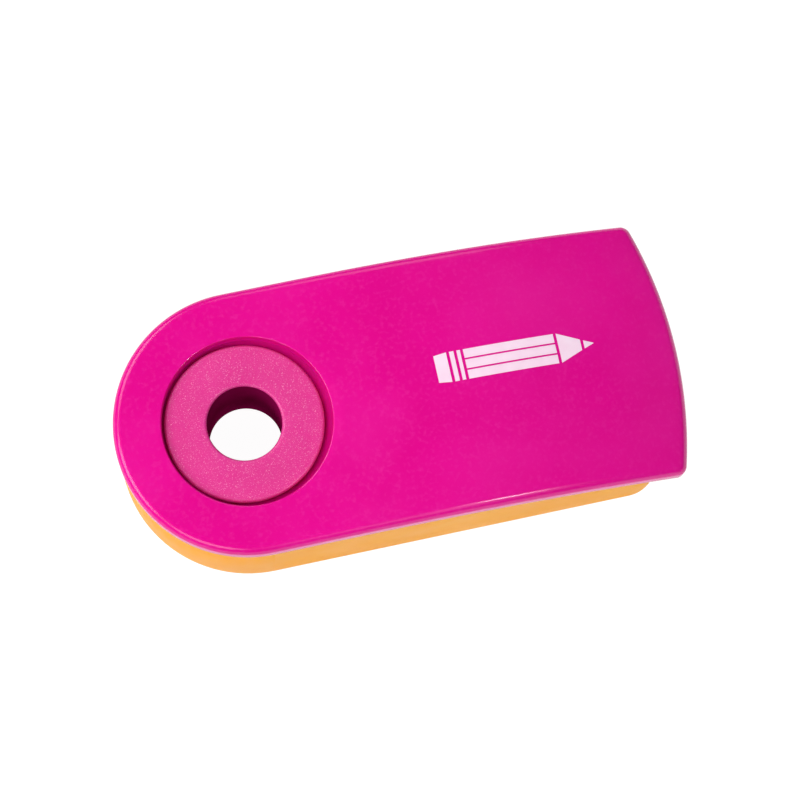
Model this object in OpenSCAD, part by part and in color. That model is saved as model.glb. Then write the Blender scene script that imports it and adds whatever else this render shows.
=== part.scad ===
// Pocket pencil sharpener with a cover that swings about a hub ring.
// Millimetres. The origin is on the swing axis, in the plane that the closed sharpener rests on.
// +X runs to the free end, +Y to the side that the pencil enters, +Z up through the hub.

/* [Overall] */
// Radius of the round end, which is half of the width
end_radius = 13; // [13:0.5:14]
// Length from the centre of the round end to the middle of the free end
free_length = 43.7; // [43:0.1:46]
// Height at the hub
height = 13.5; // [13.5:0.1:15]
// Distance from the swing axis to the centre of the round end
hub_shift = 0.28; // [0:0.02:0.3]
// Distance from the swing axis at which the top starts to droop
droop_start = 14.2; // [13.5:0.1:16]
// How far the top has drooped at the free end
droop_end = 5.75; // [4:0.05:6]

/* [Cover] */
// Thickness of the cover's rim
cover_rim = 2.4; // [2.2:0.1:2.6]
// Radius of the recess that the hub flange sits in
recess_radius = 8.3; // [8:0.1:9]
// Depth of that recess
recess_depth = 1.5; // [1.3:0.05:1.6]
// Thickness of the wall that closes the pencil hole
spine_wall = 1.4; // [1.2:0.1:1.6]
// Height of that wall's foot above the rest plane
spine_foot = 0.4; // [0.2:0.1:1]

/* [Container] */
// How far the container's side stands in from the cover's edge
flank_inset = 0.05; // [0:0.05:0.3]
// Thickness of the container's walls
wall = 1.2; // [1:0.1:1.4]
// Thickness of the container's roof
roof = 1.0; // [0.9:0.1:1.1]
// Radius of the container's corners at the free end
corner_radius = 3.6; // [3.5:0.1:4]
// Gap between the container's roof and the cover
cover_gap = 0.15; // [0.1:0.05:0.3]

/* [Hub] */
// Radius of the hole through the hub
hub_hole_radius = 3.65; // [3:0.05:4]
// Outer radius of the hub tube
hub_tube_radius = 4.9; // [4.7:0.1:5.2]
// Radius of the hub flange
flange_radius = 7.78; // [7:0.02:7.8]
// Depth of the hub flange's face below the cover's top
flange_depth = 0.83; // [0.7:0.01:0.9]
// Thickness of the hub flange
flange_thickness = 0.62; // [0.5:0.01:0.65]

/* [Sharpener] */
// Distance from the swing axis to the pencil's axis
pencil_x = 19.2; // [18.8:0.1:20]
// Height of the pencil's axis
pencil_z = 5.3; // [5.2:0.05:5.4]
// Radius of the pencil hole
pencil_radius = 4.05; // [3.8:0.05:4.1]
// Length of the collar behind the pencil hole
collar_length = 3.5; // [3:0.1:4]
// Half of the angle of the sharpened point
cone_half_angle = 13; // [12:0.5:14]
// Thickness of the blade
blade_thickness = 0.5; // [0.4:0.1:0.6]
// Width of the blade, from its back to its edge
blade_width = 6.8; // [6.4:0.1:7]
// Length of the blade's edge
blade_length = 15.5; // [15:0.1:16]

/* [Door] */
// Thickness of the shavings door
door_thickness = 1.0; // [0.9:0.1:1.1]
// Distance from the swing axis to the door's inner end
door_from = 10.4; // [10.2:0.1:10.8]
// Width of the rails that the door slides in
rail_width = 0.6; // [0.5:0.1:0.7]
// Number of grip grooves across the door
grip_count = 4; // [2:1:5]

/* [Hidden] */
$fn = 96;
eps = 0.01;
past = 1;
running_fit = 0.05;
part_gap = 0.2;
droop_steps = 10;
droop_rate = droop_end / pow(free_length - droop_start, 2);

cover_underside = height - cover_rim;
recess_floor = height - recess_depth;
cover_hole_radius = hub_tube_radius + running_fit;
flange_top = height - flange_depth;

container_top = cover_underside - cover_gap;
container_radius = end_radius - flank_inset;
container_end = free_length - 2.2;
spine_inner_y = end_radius - spine_wall;
far_flank_y = spine_inner_y - part_gap;
inner_end = container_end - wall;
inner_corner = corner_radius - wall;
cavity_from = 9.5;
collar_inner_y = far_flank_y - collar_length;
collar_wall = 1.5;
collar_half = pencil_radius + collar_wall;

boss_radius = 7;
pocket_floor = 2.6;
pocket_wall = 1.5;
pocket_end = 6.5;
lower_ring_radius = 7.6;
lower_ring_recess = 7.7;
lower_ring_thickness = 1.2;
lower_ring_lift = 0.1;

spine_from = 6.9;
spine_to = 39.4;
rib_inner = container_end + 0.7;
rib_outer = rib_inner + 1.0;
rib_drop = 1.2;
rib_side_gap = 1.6;

block_y = collar_inner_y - 0.2;
block_length = 17.2;
block_left = 7.2;
block_right = 5.6;
block_top = container_top - roof - 0.3;
rib_gap = 0.05;
rib_width = 1;
rib_foot = 2;
side_rib_length = 5;
rear_rib_length = 6;
entry_radius = pencil_radius - 0.1;
cone_length = entry_radius / tan(cone_half_angle);
tip_radius = 0.5;
tip_hole_radius = 0.4;
cone_depth = cone_length * (1 - tip_radius / entry_radius);
throat_cut = 0.35;
throat_angle = 28;
throat_reach = 12;
waste = 40;
groove_count = 3;
groove_radius = 0.45;
groove_pitch = 2.2;
groove_from = 4;
blade_start = 0.6;
blade_bevel = 1.1;
screw_x = 4;
screw_y = 8.2;
screw_head_radius = 1.9;
screw_shank_radius = 1.2;
screw_head_height = 0.7;
screw_length = 4;
screw_hole_length = 4.2;
screw_chamfer = 0.4;
slot_width = 0.5;
slot_depth = 0.4;

door_lift = 0.15;
door_far_y = collar_inner_y - 0.4;
door_near_y = -9.3;
door_gap = 0.1;
door_split = door_lift + door_thickness / 2;
floor_thickness = door_lift + door_thickness + door_gap;
strip_height = 0.5;
strip_seat = 0.8;
strip_end = container_end - 1.5;
far_strip_from = pencil_x + block_right + part_gap;
grip_pitch = 1.5;
grip_depth = 0.35;
grip_width = 0.7;
grip_from = container_end - 2.5;
grip_margin = 3;

function droop(r) = r <= droop_start ? 0 : droop_rate * pow(r - droop_start, 2);

// Everything below a surface of revolution about the swing axis that lies at z on the hub.
module below_top(z) {
    reach = free_length + 3;
    rim = [for (i = [0 : droop_steps])
        let (r = droop_start + (reach - droop_start) * i / droop_steps)
        [r, z - droop(r)]];
    rotate_extrude($fn = 180)
        polygon(concat([[0, -past], [0, z]], rim, [[reach, -past]]));
}

// The waste outside a round corner where a flank at y meets an end arc of radius arc_r.
module corner_waste(arc_r, y, corner_r) {
    side = sign(y);
    cy = y - side * corner_r;
    cx = sqrt(pow(arc_r - corner_r, 2) - cy * cy);
    reach = corner_r + 6;
    toward = atan2(cy, cx);
    difference() {
        polygon([[cx, cy], [cx, cy + side * reach], [cx + reach, cy + side * reach],
                 [cx + reach * cos(toward), cy + reach * sin(toward)]]);
        translate([cx, cy])
            circle(r = corner_r);
    }
}

// A strip between two flanks, closed by an arc, with round corners.
module rounded_strip(from_x, arc_r, near_y, far_y, corner_r) {
    difference() {
        intersection() {
            circle(r = arc_r, $fn = 180);
            translate([from_x, near_y])
                square([arc_r + past, far_y - near_y]);
        }
        corner_waste(arc_r, near_y, corner_r);
        corner_waste(arc_r, far_y, corner_r);
    }
}

module cover_outline() {
    circle(r = end_radius, $fn = 180);
    intersection() {
        circle(r = free_length, $fn = 180);
        translate([0, -end_radius])
            square([free_length + past, 2 * end_radius]);
    }
}

module cover() {
    color("deeppink")
    difference() {
        intersection() {
            translate([hub_shift, 0, 0])
                linear_extrude(height + past)
                    cover_outline();
            below_top(height);
            union() {
                cover_plate_space();
                cover_spine_space();
                cover_rib_space();
            }
        }
        translate([hub_shift, 0, recess_floor])
            cylinder(r = recess_radius, h = recess_depth + past);
        translate([0, 0, cover_underside - past])
            cylinder(r = cover_hole_radius, h = cover_rim + 2 * past);
    }
}

// The cover's plate is all that lies above its drooping underside.
module cover_plate_space() {
    difference() {
        translate([-end_radius - past, -end_radius - past, 0])
            cube([free_length + end_radius + 3 * past, 2 * (end_radius + past), height + past]);
        below_top(cover_underside);
    }
}

module cover_spine_space() {
    translate([spine_from, spine_inner_y, spine_foot])
        cube([spine_to - spine_from, spine_wall + past, height]);
}

module cover_rib_space() {
    translate([hub_shift, 0, cover_underside - droop(rib_inner) - rib_drop])
        linear_extrude(height)
            intersection() {
                difference() {
                    circle(r = rib_outer, $fn = 180);
                    circle(r = rib_inner, $fn = 180);
                }
                translate([0, -end_radius + rib_side_gap])
                    square([free_length, 2 * (end_radius - rib_side_gap)]);
            }
}

module container_outline() {
    circle(r = container_radius, $fn = 180);
    intersection() {
        rounded_strip(0, container_end, -container_radius, container_radius, corner_radius);
        translate([0, -end_radius])
            square([container_end + past, end_radius + far_flank_y]);
    }
}

module chamber_outline() {
    intersection() {
        rounded_strip(cavity_from, inner_end, -container_radius + wall, container_radius - wall,
                      inner_corner);
        translate([0, -end_radius])
            square([container_end, end_radius + far_flank_y - wall]);
    }
}

// A strip along X that ends on an arc about the round end's centre.
module door_outline(reach, gap, narrower) {
    intersection() {
        translate([hub_shift, 0])
            circle(r = reach, $fn = 180);
        translate([door_from - gap, door_near_y - gap + narrower])
            square([free_length, door_far_y - door_near_y + 2 * (gap - narrower)]);
    }
}

// The door's wide upper half runs in rails above its narrow lower half.
module door_shape(reach, gap, low, high) {
    translate([0, 0, low])
        linear_extrude(door_split - low + eps)
            door_outline(reach, gap, rail_width);
    translate([0, 0, door_split - gap])
        linear_extrude(high - door_split + gap)
            door_outline(reach, gap, 0);
}

// Strips on the floor that hold the door's edges down. The far one starts past the block.
module door_strips() {
    for (strip = [[door_from, door_near_y - strip_seat],
                  [far_strip_from, door_far_y - rail_width]])
        translate([strip[0], strip[1], floor_thickness - eps])
            cube([strip_end - strip[0], rail_width + strip_seat, strip_height]);
}

// The chamber's roof follows the droop, one roof thickness below the container's top.
module chamber_space() {
    intersection() {
        translate([hub_shift, 0, floor_thickness])
            linear_extrude(height)
                chamber_outline();
        below_top(container_top - roof);
    }
}

module hub_pocket() {
    translate([0, 0, pocket_floor])
        intersection() {
            difference() {
                cylinder(r = container_radius - pocket_wall, h = height);
                translate([0, 0, -past])
                    cylinder(r = boss_radius, h = height + 2 * past);
            }
            translate([-end_radius - past, -end_radius, -past])
                cube([end_radius + past + pocket_end, 2 * end_radius, height + 2 * past]);
        }
}

module pencil_collar() {
    intersection() {
        translate([pencil_x - collar_half, collar_inner_y, 0])
            cube([2 * collar_half, collar_length, height]);
        below_top(container_top - eps);
    }
}

// Ribs under the roof that the block is pushed between.
module block_ribs() {
    left = pencil_x - block_left - rib_gap - rib_width;
    right = pencil_x + block_right + rib_gap;
    intersection() {
        union() {
            for (x = [left, right])
                translate([x, block_y - block_length, rib_foot])
                    cube([rib_width, side_rib_length, height]);
            translate([pencil_x - rear_rib_length / 2, block_y - block_length - rib_gap - rib_width,
                       rib_foot])
                cube([rear_rib_length, rib_width, height]);
        }
        below_top(container_top - eps);
    }
}

module container() {
    color("orange")
    difference() {
        union() {
            difference() {
                intersection() {
                    translate([hub_shift, 0, 0])
                        linear_extrude(height)
                            container_outline();
                    below_top(container_top);
                }
                chamber_space();
                hub_pocket();
                door_shape(free_length, door_gap, -past, floor_thickness + eps);
            }
            pencil_collar();
            block_ribs();
            door_strips();
        }
        translate([0, 0, -past])
            cylinder(r = hub_tube_radius, h = height + 2 * past);
        translate([0, 0, -past])
            cylinder(r = lower_ring_recess, h = past + lower_ring_thickness + lower_ring_lift);
        translate([pencil_x, collar_inner_y - past, pencil_z])
            rotate([-90, 0, 0])
                cylinder(r = pencil_radius, h = collar_length + 2 * past);
    }
}

module hub_bush() {
    color("hotpink")
    difference() {
        union() {
            cylinder(r = hub_tube_radius, h = flange_top);
            translate([0, 0, flange_top - flange_thickness])
                cylinder(r = flange_radius, h = flange_thickness);
        }
        translate([0, 0, -past])
            cylinder(r = hub_hole_radius, h = height + 2 * past);
    }
}

module hub_ring_lower() {
    color("hotpink")
    translate([0, 0, lower_ring_lift])
        difference() {
            cylinder(r = lower_ring_radius, h = lower_ring_thickness);
            translate([0, 0, -past])
                cylinder(r = hub_tube_radius, h = lower_ring_thickness + 2 * past);
        }
}

// Places children on the slanted face: x to the hub, y along the blade's edge, z into the block.
module on_blade_face() {
    translate([pencil_x, block_y, pencil_z - entry_radius + throat_cut])
        rotate([cone_half_angle, 0, 180])
            children();
}

module sharpener_block() {
    color("silver")
    difference() {
        intersection() {
            translate([pencil_x - block_left, block_y - block_length, 0])
                cube([block_left + block_right, block_length, height]);
            below_top(block_top);
        }
        on_blade_face()
            translate([-waste / 2, -waste / 2, -waste])
                cube(waste);
        point_cone();
        translate([pencil_x, block_y - cone_depth + past, pencil_z])
            rotate([90, 0, 0])
                cylinder(r = tip_hole_radius, h = block_length);
        on_blade_face()
            throat();
        on_blade_face()
            translate([screw_x, screw_y, -past])
                cylinder(r = screw_shank_radius, h = screw_hole_length + past);
        grip_grooves();
    }
}

// The pencil's point turns in this cone, which starts ahead of the block's face.
module point_cone() {
    lead = past * tan(cone_half_angle);
    translate([pencil_x, block_y + past, pencil_z])
        rotate([90, 0, 0])
            cylinder(r1 = entry_radius + lead, r2 = tip_radius, h = cone_depth + past);
}

// The side of the block in front of the blade's edge is cut back so that the shavings leave.
module throat() {
    rotate([0, throat_angle, 0])
        translate([-throat_reach, -past, -throat_reach])
            cube([throat_reach, block_length + 2 * past, throat_reach]);
}

module grip_grooves() {
    for (i = [0 : groove_count - 1])
        translate([pencil_x + block_right, block_y - groove_from - groove_pitch * i, 0])
            cylinder(r = groove_radius, h = height, $fn = 24);
}

module blade() {
    color("lightsteelblue")
    on_blade_face()
        difference() {
            translate([0, blade_start, -blade_thickness])
                blade_plate();
            translate([screw_x, screw_y, -blade_thickness - past])
                cylinder(r = screw_shank_radius, h = blade_thickness + 2 * past);
        }
}

// A plate with a single-bevel cutting edge along y at x = 0.
module blade_plate() {
    translate([0, blade_length, 0])
        rotate([90, 0, 0])
            linear_extrude(blade_length)
                polygon([[0, blade_thickness], [blade_bevel, 0], [blade_width, 0],
                         [blade_width, blade_thickness]]);
}

module blade_screw() {
    color("gray")
    on_blade_face()
        translate([screw_x, screw_y, -blade_thickness])
            difference() {
                union() {
                    translate([0, 0, -screw_head_height])
                        cylinder(r1 = screw_head_radius - screw_chamfer, r2 = screw_head_radius,
                                 h = screw_head_height);
                    translate([0, 0, -eps])
                        cylinder(r = screw_shank_radius, h = screw_length);
                }
                translate([-screw_head_radius - past, -slot_width / 2, -screw_head_height - past])
                    cube([2 * (screw_head_radius + past), slot_width, past + slot_depth]);
            }
}

module shavings_door() {
    color("gold")
    difference() {
        door_shape(container_end, 0, door_lift, door_lift + door_thickness);
        for (i = [0 : grip_count - 1])
            translate([grip_from - i * grip_pitch, door_near_y + grip_margin, -past])
                cube([grip_width, door_far_y - door_near_y - 2 * grip_margin,
                      past + door_lift + grip_depth]);
    }
}

cover();
container();
hub_bush();
hub_ring_lower();
sharpener_block();
blade();
blade_screw();
shavings_door();
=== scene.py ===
"""The looks of a pocket pencil sharpener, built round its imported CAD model.

A magenta cover swings about a frosted hub, over a yellow container with a sliding door in its floor.
Lengths are in metres. The swing axis is Z, +X points to the free end and +Y to the side that the
pencil enters. The cover, its print, the hub and the lower ring are made here. The other pieces keep
their CAD meshes, with slightly rounded edges.
"""

import bmesh
import bpy
from math import atan2, cos, hypot, pi, radians, sin, sqrt
from mathutils import Matrix, Vector


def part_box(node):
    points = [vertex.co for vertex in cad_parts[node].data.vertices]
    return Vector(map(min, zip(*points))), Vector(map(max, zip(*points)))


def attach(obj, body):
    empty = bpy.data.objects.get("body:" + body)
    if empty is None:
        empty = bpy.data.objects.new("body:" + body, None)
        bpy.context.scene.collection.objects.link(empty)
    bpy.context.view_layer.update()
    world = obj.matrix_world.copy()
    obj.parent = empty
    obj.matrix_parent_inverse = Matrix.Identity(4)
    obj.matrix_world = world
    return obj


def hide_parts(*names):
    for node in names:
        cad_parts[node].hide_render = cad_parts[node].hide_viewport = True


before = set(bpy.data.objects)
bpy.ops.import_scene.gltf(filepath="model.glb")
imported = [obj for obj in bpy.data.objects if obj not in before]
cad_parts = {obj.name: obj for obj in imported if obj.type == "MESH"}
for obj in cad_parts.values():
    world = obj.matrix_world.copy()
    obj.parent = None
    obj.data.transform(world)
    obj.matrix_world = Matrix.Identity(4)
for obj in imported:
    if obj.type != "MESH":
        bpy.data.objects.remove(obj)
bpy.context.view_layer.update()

MM = 0.001
MICRON = 0.000001

# ---- Sizes, worked out from the frame's boxes where they can be ----
COVER_LOW, COVER_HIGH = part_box("cover")
BUSH_LOW, BUSH_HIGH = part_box("hub_bush")
RING_LOW, RING_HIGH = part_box("hub_ring_lower")

# The cover's round end, its free end and its recess share a centre, HUB_SHIFT from the swing axis.
END_RADIUS = COVER_HIGH.y
HUB_SHIFT = COVER_LOW.x + END_RADIUS
FREE_RADIUS = COVER_HIGH.x - HUB_SHIFT
COVER_CORNER = 1.02 * MM
HEIGHT = COVER_HIGH.z

# The top is level round the hub and then droops, by DROOP_END at DROOP_REACH from the swing axis.
DROOP_START = 14.2 * MM
DROOP_REACH = 43.7 * MM
DROOP_END = 5.75 * MM
DROOP_RATE = DROOP_END / (DROOP_REACH - DROOP_START) ** 2

PLATE_THICKNESS = 2.4 * MM
TOP_FILLET = 0.8 * MM
RIM_FILLET = 0.15 * MM
RECESS_RADIUS = 8.3 * MM
RECESS_DEPTH = 1.5 * MM
RECESS_FILLET = 0.14 * MM
COVER_HOLE_RADIUS = 4.95 * MM

SPINE_FROM = 6.9 * MM
SPINE_TO = 39.4 * MM
SPINE_WALL = 1.4 * MM
SPINE_FOOT = 0.4 * MM
SPINE_FILLET = 0.25 * MM
SPINE_INTO_PLATE = 1.2 * MM
# The spine's outer face stays this far inside the plate's side, so that the two never coincide.
SPINE_SET_BACK = 0.004 * MM

RIB_INNER = 42.2 * MM
RIB_OUTER = 43.2 * MM
RIB_DROP = 1.2 * MM
RIB_INTO_PLATE = 0.8 * MM
RIB_HALF_ANGLE = radians(15)

HUB_HOLE_RADIUS = 3.65 * MM
HUB_TUBE_RADIUS = 4.9 * MM
HOLE_FILLET = 0.3 * MM
HOLE_LEAD_IN_WIDTH = 1.0 * MM
HOLE_LEAD_IN_HEIGHT = 2.4 * MM
FLANGE_RADIUS = BUSH_HIGH.x
FLANGE_THICKNESS = 0.62 * MM
FLANGE_FILLET = 0.34 * MM
# Where the flange's flat top has its rings, as shares of the way from the hole to the edge.
FLANGE_RINGS = (0.3, 0.5, 0.7, 0.85)
RING_FILLET = 0.3 * MM

# ---- How finely the curves are cut ----
TURN_STEPS = 192
ROUND_END_STEPS = 96
SIDE_STEPS = 48
FREE_END_STEPS = 48
CORNER_STEPS = 10
TOP_FILLET_STEPS = 8
SMALL_FILLET_STEPS = 3
HUB_FILLET_STEPS = 6
RING_FILLET_STEPS = 5
LEAD_IN_STEPS = 10
SPINE_STEPS = 40
RIB_STEPS = 36
PRINT_STEPS = 14
UNDER_RINGS = 15
TOP_RINGS = 28

# ---- Edges: degrees above which an edge is shaded sharp, or rounded ----
COVER_SHARP_ANGLE = 32
LATHE_SHARP_ANGLE = 40
BEVEL_ANGLE = 35
BEVEL_SEGMENTS = 3
FLAT_ANGLE = 0.5
WELD_DISTANCE = 0.1 * MICRON


# ---- Points and profiles ----
def droop(x, y):
    """How far the drooping top has come down at a point."""
    past_start = max(0.0, hypot(x, y) - DROOP_START)
    return DROOP_RATE * past_start**2


def drooping(points, z):
    """Plan points placed z high, less the droop."""
    return [(x, y, z - droop(x, y)) for x, y in points]


def level(points, z):
    """Plan points placed z high."""
    return [(x, y, z) for x, y in points]


def between(inner, outer, share):
    """Plan points at a share of the way from one ring of points to another."""
    return [(a[0] + (b[0] - a[0]) * share, a[1] + (b[1] - a[1]) * share) for a, b in zip(inner, outer)]


def quarter(steps):
    """Angles from 0 to a right angle, with both ends."""
    return [pi / 2 * i / steps for i in range(steps + 1)]


def arc(centre, radius, start, end, steps):
    """Points on an arc in a profile's plane, with both ends, between two angles in degrees."""
    points = []
    for i in range(steps + 1):
        a = radians(start + (end - start) * i / steps)
        points.append((centre[0] + radius * cos(a), centre[1] + radius * sin(a)))
    return points


# ---- Meshes ----
def new_object(name, vertices, faces):
    mesh = bpy.data.meshes.new(name)
    mesh.from_pydata(vertices, [], faces)
    mesh.validate()
    obj = bpy.data.objects.new(name, mesh)
    bpy.context.scene.collection.objects.link(obj)
    return obj


def swept(name, rings):
    """A closed mesh through rings of equal length, where the last ring joins the first."""
    count = len(rings[0])
    vertices = [point for ring in rings for point in ring]
    faces = []
    for i in range(len(rings)):
        after = (i + 1) % len(rings)
        for j in range(count):
            k = (j + 1) % count
            faces.append((i * count + j, i * count + k, after * count + k, after * count + j))
    return new_object(name, vertices, faces)


def lathe(name, profile):
    """A closed profile of (radius, z) points turned about the swing axis."""
    rings = []
    for radius, z in profile:
        ring = []
        for j in range(TURN_STEPS):
            a = 2 * pi * j / TURN_STEPS
            ring.append((radius * cos(a), radius * sin(a), z))
        rings.append(ring)
    return swept(name, rings)


def prism(name, outline, y_low, y_high):
    """An outline of (x, z) points pushed out between two y planes."""
    count = len(outline)
    vertices = [(x, y_low, z) for x, z in outline] + [(x, y_high, z) for x, z in outline]
    faces = [tuple(range(count)), tuple(reversed(range(count, 2 * count)))]
    for i in range(count):
        j = (i + 1) % count
        faces.append((j, i, i + count, j + count))
    return new_object(name, vertices, faces)


def apply_modifiers(obj):
    graph = bpy.context.evaluated_depsgraph_get()
    mesh = bpy.data.meshes.new_from_object(obj.evaluated_get(graph))
    obj.modifiers.clear()
    obj.data = mesh


def outward(obj):
    """Turns all the faces of a closed mesh to face out."""
    mesh = bmesh.new()
    mesh.from_mesh(obj.data)
    bmesh.ops.recalc_face_normals(mesh, faces=mesh.faces)
    mesh.to_mesh(obj.data)
    mesh.free()


def smooth(obj, sharp_angle):
    obj.data.shade_smooth()
    obj.data.set_sharp_from_angle(angle=radians(sharp_angle))


def rounded(obj, width):
    """Rounds a part's sharp edges, after joining the points that the frame's import split at them."""
    weld = obj.modifiers.new("weld", "WELD")
    weld.merge_threshold = WELD_DISTANCE
    flat = obj.modifiers.new("flat", "DECIMATE")
    flat.decimate_type = "DISSOLVE"
    flat.angle_limit = radians(FLAT_ANGLE)
    bevel = obj.modifiers.new("edges", "BEVEL")
    bevel.width = width
    bevel.segments = BEVEL_SEGMENTS
    bevel.limit_method = "ANGLE"
    bevel.angle_limit = radians(BEVEL_ANGLE)
    bevel.harden_normals = True


def union(obj, other):
    """Joins another closed mesh onto an object, and removes the other object."""
    join = obj.modifiers.new("join", "BOOLEAN")
    join.operation = "UNION"
    join.solver = "EXACT"
    join.object = other
    bpy.context.view_layer.update()
    apply_modifiers(obj)
    bpy.data.objects.remove(other)


# ---- The cover ----
def cover_outline(inset):
    """The cover's outline, moved in by inset.

    It has a round end, two straight sides, and an arc with small corners at the free end.
    """
    corner_y = END_RADIUS - COVER_CORNER
    corner_x = sqrt((FREE_RADIUS - COVER_CORNER) ** 2 - corner_y**2)
    corner_turn = atan2(corner_y, corner_x)
    points = []

    def turn(cx, cy, radius, start, end, steps):
        for i in range(steps):
            a = start + (end - start) * i / steps
            points.append((HUB_SHIFT + cx + radius * cos(a), cy + radius * sin(a)))

    def straight(y, x_start, x_end):
        for i in range(SIDE_STEPS):
            points.append((HUB_SHIFT + x_start + (x_end - x_start) * i / SIDE_STEPS, y))

    turn(0, 0, END_RADIUS - inset, pi / 2, 3 * pi / 2, ROUND_END_STEPS)
    straight(-END_RADIUS + inset, 0, corner_x)
    turn(corner_x, -corner_y, COVER_CORNER - inset, -pi / 2, -corner_turn, CORNER_STEPS)
    turn(0, 0, FREE_RADIUS - inset, -corner_turn, corner_turn, FREE_END_STEPS)
    turn(corner_x, corner_y, COVER_CORNER - inset, corner_turn, pi / 2, CORNER_STEPS)
    straight(END_RADIUS - inset, corner_x, 0)
    return points


def circle_towards(outline, centre_x, radius):
    """A circle with one point in the direction of each point of the outline."""
    points = []
    for x, y in outline:
        reach = hypot(x - centre_x, y)
        points.append((centre_x + radius * (x - centre_x) / reach, radius * y / reach))
    return points


def cover_plate():
    """The plate, as rings that go down its side, in under it, up the hole and out over the top."""
    under_z = HEIGHT - PLATE_THICKNESS
    rings = []
    for a in quarter(TOP_FILLET_STEPS):
        inset = TOP_FILLET * (1 - sin(a))
        rings.append(drooping(cover_outline(inset), HEIGHT - TOP_FILLET * (1 - cos(a))))
    for a in quarter(SMALL_FILLET_STEPS):
        inset = RIM_FILLET * (1 - cos(a))
        rings.append(drooping(cover_outline(inset), under_z + RIM_FILLET * (1 - sin(a))))

    under = cover_outline(RIM_FILLET)
    hole = circle_towards(under, 0, COVER_HOLE_RADIUS)
    for i in range(1, UNDER_RINGS + 1):
        rings.append(drooping(between(under, hole, i / UNDER_RINGS), under_z))

    recess_floor = HEIGHT - RECESS_DEPTH
    rings.append(level(hole, recess_floor))
    rings.append(level(circle_towards(under, HUB_SHIFT, RECESS_RADIUS), recess_floor))
    for a in quarter(SMALL_FILLET_STEPS):
        radius = RECESS_RADIUS + RECESS_FILLET * (1 - cos(a))
        z = HEIGHT - RECESS_FILLET * (1 - sin(a))
        rings.append(level(circle_towards(under, HUB_SHIFT, radius), z))

    top_edge = cover_outline(TOP_FILLET)
    recess_edge = circle_towards(top_edge, HUB_SHIFT, RECESS_RADIUS + RECESS_FILLET)
    for i in range(1, TOP_RINGS):
        rings.append(drooping(between(recess_edge, top_edge, i / TOP_RINGS), HEIGHT))
    return swept("cover_shell", rings)


def spine():
    """The wall along the far side that closes the pencil hole."""
    y = END_RADIUS - SPINE_WALL / 2
    top = []
    for i in range(SPINE_STEPS + 1):
        x = SPINE_TO + (SPINE_FROM - SPINE_TO) * i / SPINE_STEPS
        top.append((x, HEIGHT - PLATE_THICKNESS - droop(x, y) + SPINE_INTO_PLATE))
    outline = [(SPINE_FROM, SPINE_FOOT), (SPINE_TO, SPINE_FOOT)] + top
    wall = prism("spine", outline, END_RADIUS - SPINE_WALL, END_RADIUS - SPINE_SET_BACK)
    outward(wall)
    rounded(wall, SPINE_FILLET)
    apply_modifiers(wall)
    return wall


def end_rib():
    """The low rib under the free end that hides the container's edge."""
    low = HEIGHT - PLATE_THICKNESS - droop(RIB_INNER, 0) - RIB_DROP
    high = HEIGHT - PLATE_THICKNESS - droop(RIB_OUTER, 0) + RIB_INTO_PLATE
    section = [(RIB_INNER, low), (RIB_OUTER, low), (RIB_OUTER, high), (RIB_INNER, high)]
    corners = len(section)
    vertices = []
    for i in range(RIB_STEPS + 1):
        a = RIB_HALF_ANGLE * (2 * i / RIB_STEPS - 1)
        vertices += [(HUB_SHIFT + r * cos(a), r * sin(a), z) for r, z in section]
    far_end = corners * RIB_STEPS
    faces = [tuple(range(corners)), tuple(far_end + k for k in reversed(range(corners)))]
    for i in range(RIB_STEPS):
        here = corners * i
        after = here + corners
        for k in range(corners):
            n = (k + 1) % corners
            faces.append((here + k, here + n, after + n, after + k))
    rib = new_object("end_rib", vertices, faces)
    outward(rib)
    return rib


def make_cover():
    shell = cover_plate()
    outward(shell)
    union(shell, spine())
    union(shell, end_rib())
    smooth(shell, COVER_SHARP_ANGLE)
    return shell


# The cover's material slots. A face nearer the hub than SIDE_REACH is never part of the side, and a
# side face's normal rises less than SIDE_NORMAL.
# The recess slot holds the darker magenta, painted shade for the recess's walls and floor.
TOP_SLOT, RECESS_SLOT, SIDE_SLOT = 0, 1, 2
RECESS_FLOOR_MARGIN = 0.01 * MM
SIDE_REACH = RECESS_RADIUS + 2.4 * MM
SIDE_NORMAL = 0.3


def cover_slot(face):
    """The material slot of one of the cover's faces."""
    reach = hypot(face.center.x - HUB_SHIFT, face.center.y)
    above_floor = face.center.z > HEIGHT - RECESS_DEPTH - RECESS_FLOOR_MARGIN
    if reach < RECESS_RADIUS + RECESS_FILLET / 2 and above_floor:
        return RECESS_SLOT
    if reach > SIDE_REACH and abs(face.normal.z) < SIDE_NORMAL:
        return SIDE_SLOT
    return TOP_SLOT


# ---- The hub ----
def lead_in(low):
    """The hole's foot, a quarter of an ellipse that widens the hole downwards."""
    points = []
    for a in quarter(LEAD_IN_STEPS):
        radius = HUB_HOLE_RADIUS + HOLE_LEAD_IN_WIDTH * (1 - sin(a))
        points.append((radius, low + HOLE_LEAD_IN_HEIGHT * (1 - cos(a))))
    return points


def make_hub_bush():
    """The tube with its flange, from the hole's upper edge over the top and down the outside."""
    top = BUSH_HIGH.z
    low = BUSH_LOW.z
    under = top - FLANGE_THICKNESS
    hole_edge = (HUB_HOLE_RADIUS + HOLE_FILLET, top - HOLE_FILLET)
    flange_edge = (FLANGE_RADIUS - FLANGE_FILLET, top - FLANGE_FILLET)
    flange_width = FLANGE_RADIUS - HUB_HOLE_RADIUS
    profile = arc(hole_edge, HOLE_FILLET, 180, 90, HUB_FILLET_STEPS)
    profile += [(HUB_HOLE_RADIUS + flange_width * share, top) for share in FLANGE_RINGS]
    profile += arc(flange_edge, FLANGE_FILLET, 90, 0, HUB_FILLET_STEPS)
    profile += [(FLANGE_RADIUS, under), (HUB_TUBE_RADIUS, under), (HUB_TUBE_RADIUS, low)]
    profile += lead_in(low)
    bush = lathe("hub_flange_and_tube", profile)
    outward(bush)
    smooth(bush, LATHE_SHARP_ANGLE)
    return bush
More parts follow.
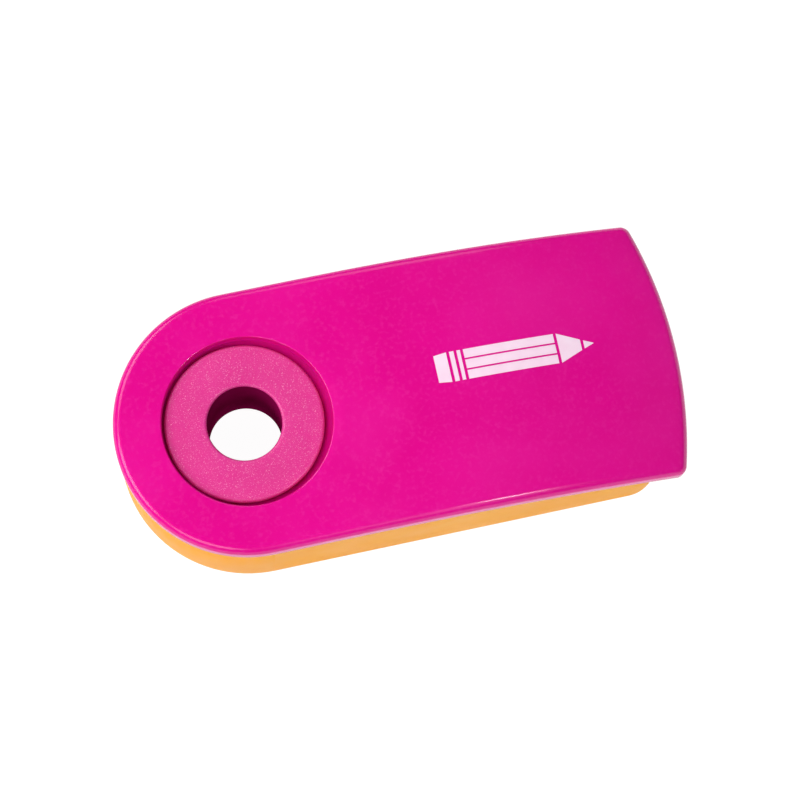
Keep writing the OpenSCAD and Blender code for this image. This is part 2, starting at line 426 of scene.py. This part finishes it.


# The hub's material slots. The hole's own slot, whose dark burgundy is painted shade, starts just inside
# its upper rounding.
HUB_SLOT, BORE_SLOT = 0, 1
BORE_REACH = HUB_HOLE_RADIUS + HOLE_FILLET * 0.06


def hub_slot(face):
    """The material slot of one of the hub's faces."""
    reach = hypot(face.center.x, face.center.y)
    at_foot = face.center.z < BUSH_LOW.z + HOLE_LEAD_IN_HEIGHT
    if reach < BORE_REACH or (at_foot and reach < HUB_HOLE_RADIUS + HOLE_LEAD_IN_WIDTH):
        return BORE_SLOT
    return HUB_SLOT


def make_lower_ring():
    """The snap ring round the tube's lower end: below, it is rounded outside and chamfered inside."""
    radius = RING_HIGH.x
    low, high = RING_LOW.z, RING_HIGH.z
    inner = HUB_TUBE_RADIUS
    chamfer = RING_FILLET / 2
    profile = [(inner, high), (inner, low + chamfer), (inner + chamfer, low)]
    profile += arc((radius - RING_FILLET, low + RING_FILLET), RING_FILLET, 270, 360, RING_FILLET_STEPS)
    profile += [(radius, high)]
    ring = lathe("lower_snap_ring", profile)
    outward(ring)
    smooth(ring, LATHE_SHARP_ANGLE)
    return ring


# ---- The print, a plain pictogram of a pencil ----
PRINT_CENTRE = Vector((27.5 * MM, 1.2 * MM))
PRINT_THICKNESS = 0.02 * MM
PRINT_HALF_WIDTH = 1.5 * MM
STRIPE_COUNT = 3
STRIPE_GAP = 0.18 * MM
BARREL_FROM = -5.2 * MM
BARREL_TO = 4.0 * MM
# The other strips: where each starts and ends along the pencil, and its half widths there as shares
# of the pencil's own.
PRINT_STRIPS = [
    (-8.2 * MM, -6.9 * MM, 0.9, 1.0),  # end cap
    (-6.6 * MM, -6.15 * MM, 1.0, 1.0),  # ferrule
    (-5.85 * MM, -5.5 * MM, 1.0, 1.0),  # ferrule
    (4.3 * MM, 6.6 * MM, 1.0, 0.36),  # sharpened wood
    (6.9 * MM, 7.9 * MM, 0.28, 0.02),  # point
]


def print_strip(vertices, faces, x_from, x_to, edges_from, edges_to):
    """Adds a strip that lies on the cover's droop, given by its (lower, upper) edges at both ends."""
    first = len(vertices)
    for i in range(PRINT_STEPS + 1):
        share = i / PRINT_STEPS
        x = PRINT_CENTRE.x + x_from + (x_to - x_from) * share
        low, high = [PRINT_CENTRE.y + a + (b - a) * share for a, b in zip(edges_from, edges_to)]
        for lift in (-PRINT_THICKNESS, PRINT_THICKNESS):
            for y in (low, high):
                vertices.append((x, y, HEIGHT - droop(x, y) + lift))
    for i in range(PRINT_STEPS):
        a = first + 4 * i
        b = a + 4
        faces += [(a + 2, b + 2, b + 3, a + 3), (a, a + 1, b + 1, b)]
        faces += [(a, b, b + 2, a + 2), (a + 1, a + 3, b + 3, b + 1)]
    last = first + 4 * PRINT_STEPS
    faces += [(first, first + 2, first + 3, first + 1), (last, last + 1, last + 3, last + 2)]


def make_print():
    """A small pencil: a striped barrel, an end cap, a ferrule of two bands and a sharpened end."""
    vertices, faces = [], []
    stripe = (2 * PRINT_HALF_WIDTH - (STRIPE_COUNT - 1) * STRIPE_GAP) / STRIPE_COUNT
    for i in range(STRIPE_COUNT):
        low = -PRINT_HALF_WIDTH + i * (stripe + STRIPE_GAP)
        edges = (low, low + stripe)
        print_strip(vertices, faces, BARREL_FROM, BARREL_TO, edges, edges)
    for x_from, x_to, share_from, share_to in PRINT_STRIPS:
        half_from, half_to = PRINT_HALF_WIDTH * share_from, PRINT_HALF_WIDTH * share_to
        print_strip(vertices, faces, x_from, x_to, (-half_from, half_from), (-half_to, half_to))
    mark = new_object("cover_print", vertices, faces)
    outward(mark)
    return mark


# ---- Material helpers ----
# Most of a noise's values lie between these.
NOISE_LOW = 0.3
NOISE_HIGH = 0.7
# A Mix node's sockets go by number, since those for numbers, vectors and colours share their names.
MIX_FACTOR, MIX_A, MIX_B = 0, 6, 7
MIX_RESULT = 2


def new_material(name):
    made = bpy.data.materials.new(name)
    made.use_nodes = True
    return made


def shader_of(tree):
    return tree.nodes["Principled BSDF"]


def set_inputs(node, values):
    for name, value in values.items():
        node.inputs[name].default_value = value


def noise(tree, scale, detail, stretch=None):
    """Noise in the piece's own coordinates, with scale in cells per metre."""
    place = tree.nodes.new("ShaderNodeTexCoord").outputs["Object"]
    made = tree.nodes.new("ShaderNodeTexNoise")
    set_inputs(made, {"Scale": scale, "Detail": detail})
    if stretch:
        mapping = tree.nodes.new("ShaderNodeMapping")
        set_inputs(mapping, {"Scale": stretch})
        tree.links.new(place, mapping.inputs["Vector"])
        place = mapping.outputs["Vector"]
    tree.links.new(place, made.inputs["Vector"])
    return made.outputs["Fac"]


def ramp(tree, value, low, high, start=NOISE_LOW, end=NOISE_HIGH):
    """A ramp over a value, from one colour at start to another at end."""
    made = tree.nodes.new("ShaderNodeValToRGB")
    first, last = made.color_ramp.elements
    first.position = start
    first.color = (*low, 1.0)
    last.position = end
    last.color = (*high, 1.0)
    tree.links.new(value, made.inputs["Fac"])
    return made.outputs["Color"]


def grey(amount):
    return (amount, amount, amount)


def bump(tree, height, depth):
    """Adds relief of a real depth, over any that the shader has already."""
    normal = shader_of(tree).inputs["Normal"]
    made = tree.nodes.new("ShaderNodeBump")
    set_inputs(made, {"Strength": 1.0, "Distance": depth})
    tree.links.new(height, made.inputs["Height"])
    if normal.links:
        tree.links.new(normal.links[0].from_socket, made.inputs["Normal"])
    tree.links.new(made.outputs["Normal"], normal)


def tint(tree, colour, share):
    """Mixes a colour into the base colour, by a share that varies over the surface."""
    base = shader_of(tree).inputs["Base Color"]
    mix = tree.nodes.new("ShaderNodeMix")
    mix.data_type = "RGBA"
    mix.inputs[MIX_B].default_value = (*colour, 1.0)
    tree.links.new(share, mix.inputs[MIX_FACTOR])
    tree.links.new(base.links[0].from_socket, mix.inputs[MIX_A])
    tree.links.new(mix.outputs[MIX_RESULT], base)


def translucent(tree, weight, radius, scale):
    """Lets light into the plastic: radius is how deep red, green and blue go, in units of scale."""
    values = {"Subsurface Weight": weight, "Subsurface Radius": radius, "Subsurface Scale": scale}
    set_inputs(shader_of(tree), values)


def plastic(name, dark, light, rough, patch, grain, grain_depth, specular=0.5):
    """Moulded plastic: slow colour drift, patchy roughness and a fine surface grain."""
    made = new_material(name)
    tree = made.node_tree
    shader = shader_of(tree)
    drift = noise(tree, patch, detail=4.0)
    tree.links.new(ramp(tree, drift, dark, light), shader.inputs["Base Color"])
    wear = noise(tree, 3 * patch, detail=5.0)
    tree.links.new(ramp(tree, wear, grey(rough[0]), grey(rough[1])), shader.inputs["Roughness"])
    set_inputs(shader, {"Specular IOR Level": specular})
    bump(tree, noise(tree, grain, detail=2.0), grain_depth)
    return made


def metal(name, dark, light, rough, stretch, scale, depth):
    """Milled metal: long fine tool marks along one direction."""
    made = new_material(name)
    tree = made.node_tree
    shader = shader_of(tree)
    marks = noise(tree, scale, detail=4.0, stretch=stretch)
    tree.links.new(ramp(tree, marks, dark, light), shader.inputs["Base Color"])
    tree.links.new(ramp(tree, marks, grey(rough[0]), grey(rough[1])), shader.inputs["Roughness"])
    set_inputs(shader, {"Metallic": 1.0})
    bump(tree, marks, depth)
    return made


# ---- Materials ----
def cover_material(name, specular):
    """Polished magenta, with pale clouds painted into the colour that are partly a cloudy film and
    partly a painted sheen, fine dust and the swirls of wiping.
    """
    made = plastic(
        name,
        dark=(0.70, 0.001, 0.24),
        light=(0.76, 0.002, 0.275),
        rough=(0.15, 0.19),
        patch=90,
        grain=1400,
        grain_depth=0.7 * MICRON,
        specular=specular,
    )
    tree = made.node_tree
    # Pale clouds mixed into the colour: partly a cloudy film on the plastic, partly a painted sheen of
    # the wiped swirls.
    clouds = noise(tree, 75, detail=9.0)
    haze_and_sheen = ramp(tree, clouds, grey(0.0), grey(0.65), start=0.42, end=0.72)
    tint(tree, (0.76, 0.012, 0.300), haze_and_sheen)
    specks = noise(tree, 2400, detail=3.0)
    dust = ramp(tree, specks, grey(0.0), grey(0.5), start=0.50, end=0.80)
    tint(tree, (0.78, 0.024, 0.315), dust)
    swirl = noise(tree, 260, detail=6.0)
    bump(tree, swirl, 1.4 * MICRON)
    translucent(tree, weight=0.12, radius=(1.0, 0.15, 0.5), scale=1.2 * MM)
    return made


def recess_shade_material():
    """A darker magenta on the recess's walls and floor: painted shade for the recess."""
    made = plastic(
        "cover_recess_painted_shade",
        dark=(0.60, 0.001, 0.18),
        light=(0.67, 0.0012, 0.205),
        rough=(0.3, 0.4),
        patch=200,
        grain=1600,
        grain_depth=MICRON,
        specular=0.2,
    )
    translucent(made.node_tree, weight=0.5, radius=(1.0, 0.1, 0.5), scale=2 * MM)
    return made


def container_material():
    """Satin yellow-orange."""
    made = plastic(
        "container_yellow",
        dark=(0.91, 0.34, 0.006),
        light=(0.96, 0.39, 0.010),
        rough=(0.42, 0.52),
        patch=70,
        grain=2600,
        grain_depth=4 * MICRON,
        specular=0.10,
    )
    translucent(made.node_tree, weight=0.25, radius=(1.0, 0.55, 0.15), scale=1.5 * MM)
    return made


def hub_material():
    """Frosted pink: tiny facets over a satin base, with bright pink specks painted into the colour as
    the facets' glints.
    """
    made = plastic(
        "hub_frosted",
        dark=(0.66, 0.024, 0.235),
        light=(0.73, 0.036, 0.275),
        rough=(0.30, 0.42),
        patch=160,
        grain=6500,
        grain_depth=20 * MICRON,
    )
    tree = made.node_tree
    facets = noise(tree, 3600, detail=3.0)
    bump(tree, facets, 14 * MICRON)
    # Bright specks mixed into the colour: painted glints of the frosted facets.
    specks = noise(tree, 11000, detail=1.0)
    painted_glints = ramp(tree, specks, grey(0.0), grey(0.8), start=0.60, end=0.85)
    tint(tree, (1.0, 0.5, 0.72), painted_glints)
    translucent(tree, weight=0.2, radius=(1.0, 0.2, 0.5), scale=MM)
    return made


def bore_shade_material():
    """The wall of the hub's hole, painted dark burgundy as the shade inside the hole. It has no
    reflections, since the softboxes would turn it grey.
    """
    return plastic(
        "hub_bore_painted_shade",
        dark=(0.17, 0.0012, 0.04),
        light=(0.26, 0.003, 0.075),
        rough=(0.45, 0.6),
        patch=200,
        grain=1600,
        grain_depth=MICRON,
        specular=0.0,
    )


def print_material():
    """Pale pink ink."""
    return plastic(
        "print_pale_pink",
        dark=(0.93, 0.66, 0.82),
        light=(0.96, 0.74, 0.88),
        rough=(0.4, 0.5),
        patch=500,
        grain=4000,
        grain_depth=2 * MICRON,
    )


def block_material():
    return metal(
        "block_milled",
        dark=(0.50, 0.51, 0.53),
        light=(0.66, 0.67, 0.69),
        rough=(0.3, 0.45),
        stretch=(1, 12, 12),
        scale=160,
        depth=4 * MICRON,
    )


def blade_material():
    return metal(
        "blade_ground",
        dark=(0.55, 0.56, 0.58),
        light=(0.72, 0.73, 0.75),
        rough=(0.18, 0.3),
        stretch=(14, 1, 1),
        scale=220,
        depth=2 * MICRON,
    )


def screw_material():
    return metal(
        "screw_turned",
        dark=(0.42, 0.42, 0.44),
        light=(0.58, 0.58, 0.60),
        rough=(0.25, 0.38),
        stretch=(1, 1, 10),
        scale=260,
        depth=2 * MICRON,
    )


def floor_material():
    """A white that glows slightly, like a light table."""
    made = new_material("floor_white")
    tree = made.node_tree
    shader = shader_of(tree)
    tone = ramp(tree, noise(tree, 12, detail=3.0), grey(0.13), grey(0.15))
    tree.links.new(tone, shader.inputs["Base Color"])
    values = {
        "Roughness": 0.7,
        "Specular IOR Level": 0.15,
        "Emission Color": (1.0, 1.0, 1.0, 1.0),
        "Emission Strength": 0.97,
    }
    set_inputs(shader, values)
    return made


def finish_with(obj, *materials):
    """Gives an object its materials, one for each slot."""
    obj.data.materials.clear()
    for made in materials:
        obj.data.materials.append(made)


# ---- Camera and floor ----
# The camera looks down at the hub's top. Its angles are in radians, and its offset is along its own
# right and up.
CAMERA_DISTANCE = 0.26
CAMERA_LENS = 121.1
CAMERA_AZIMUTH = 0.4149
CAMERA_TILT = -0.2108
CAMERA_ROLL = -0.2023
CAMERA_OFFSET = Vector((14.76 * MM, 2.0 * MM, 0))

FLOOR_HALF_WIDTH = 0.8
FLOOR_GAP = 0.05 * MM


def make_camera():
    turn = Matrix.Rotation(CAMERA_ROLL, 3, "Z") @ Matrix.Rotation(CAMERA_TILT, 3, "X")
    turn = (turn @ Matrix.Rotation(CAMERA_AZIMUTH, 3, "Z")).transposed()
    place = Vector((HUB_SHIFT, 0, HEIGHT)) + turn @ (CAMERA_OFFSET + Vector((0, 0, CAMERA_DISTANCE)))
    data = bpy.data.cameras.new("camera")
    data.lens = CAMERA_LENS
    data.sensor_width = 36
    data.clip_start = 0.01
    data.clip_end = 10
    camera = bpy.data.objects.new("camera", data)
    camera.matrix_world = Matrix.Translation(place) @ turn.to_4x4()
    bpy.context.scene.collection.objects.link(camera)
    bpy.context.scene.camera = camera


def make_floor():
    half = FLOOR_HALF_WIDTH
    corners = [(-half, -half), (half, -half), (half, half), (-half, half)]
    floor = new_object("floor", level(corners, -FLOOR_GAP), [(0, 1, 2, 3)])
    finish_with(floor, floor_material())


# ---- Light ----
WORLD_STRENGTH = 0.06
LIGHT_CENTRE = Vector((0.014, 0, 0.006))
LIGHT_DISTANCE = 0.6
LIGHT_ELEVATION = radians(44)
LIGHT_SIZE = 0.34
# Softboxes in a ring round the object: azimuth in degrees and watts, strongest on the hub's side.
LIGHT_RING = [(180, 1.85), (232, 1.1), (128, 1.35), (290, 0.3), (72, 0.5)]
# A small lamp that the rounding of the near edge reflects, as a thin line of light: a point on that
# edge, the way the surface faces there, and the lamp's size and watts.
SPARK_EDGE = Vector((0.028, -0.0123, 0.0118))
SPARK_NORMAL = Vector((0.125, -0.30, 0.94))
SPARK_SIZE = 0.08
SPARK_POWER = 0.75


def area_light(name, place, target, size, power):
    data = bpy.data.lights.new(name, "AREA")
    data.shape = "DISK"
    data.size = size
    data.energy = power
    light = bpy.data.objects.new(name, data)
    aim = (target - place).to_track_quat("-Z", "Y")
    light.matrix_world = Matrix.Translation(place) @ aim.to_matrix().to_4x4()
    bpy.context.scene.collection.objects.link(light)


def make_world():
    world = bpy.data.worlds.new("studio")
    world.use_nodes = True
    background = world.node_tree.nodes["Background"]
    set_inputs(background, {"Color": (1.0, 1.0, 1.0, 1.0), "Strength": WORLD_STRENGTH})
    bpy.context.scene.world = world
    bpy.context.scene.view_settings.view_transform = "Standard"


def make_softboxes():
    reach = LIGHT_DISTANCE * cos(LIGHT_ELEVATION)
    height = LIGHT_DISTANCE * sin(LIGHT_ELEVATION)
    for azimuth, power in LIGHT_RING:
        a = radians(azimuth)
        place = Vector((LIGHT_CENTRE.x + reach * cos(a), reach * sin(a), height))
        area_light(f"softbox_{azimuth}", place, LIGHT_CENTRE, LIGHT_SIZE, power)


def make_spark():
    """Places the small lamp where the near edge mirrors it towards the camera."""
    to_camera = (bpy.context.scene.camera.matrix_world.translation - SPARK_EDGE).normalized()
    normal = SPARK_NORMAL.normalized()
    bearing = 2 * normal.dot(to_camera) * normal - to_camera
    area_light("spark", SPARK_EDGE + LIGHT_DISTANCE * bearing, SPARK_EDGE, SPARK_SIZE, SPARK_POWER)


# ---- Everything together ----
make_camera()
make_floor()
make_world()
make_softboxes()
make_spark()

cover = make_cover()
magenta = cover_material("cover_magenta", specular=0.35)
magenta_side = cover_material("cover_magenta_side", specular=0.05)
finish_with(cover, magenta, recess_shade_material(), magenta_side)
for face in cover.data.polygons:
    face.material_index = cover_slot(face)
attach(cover, "swing_cover")
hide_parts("cover")

mark = make_print()
finish_with(mark, print_material())
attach(mark, "swing_cover")

frosted = hub_material()
bush = make_hub_bush()
finish_with(bush, frosted, bore_shade_material())
for face in bush.data.polygons:
    face.material_index = hub_slot(face)
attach(bush, "base")
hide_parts("hub_bush")

ring = make_lower_ring()
finish_with(ring, frosted)
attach(ring, "base")
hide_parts("hub_ring_lower")

# The CAD nodes that stay, each with its material and the rounding asked for its edges. The bevel goes
# no further than a mesh's shortest edges let it, so the container and the block stay nearly sharp.
yellow = container_material()
CAD_FINISH = {
    "container": (yellow, 0.3 * MM),
    "shavings_door": (yellow, 0.15 * MM),
    "sharpener_block": (block_material(), 0.12 * MM),
    "blade": (blade_material(), 0.02 * MM),
    "blade_screw": (screw_material(), 0.05 * MM),
}
for node, (finish, edge) in CAD_FINISH.items():
    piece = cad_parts[node]
    finish_with(piece, finish)
    rounded(piece, edge)
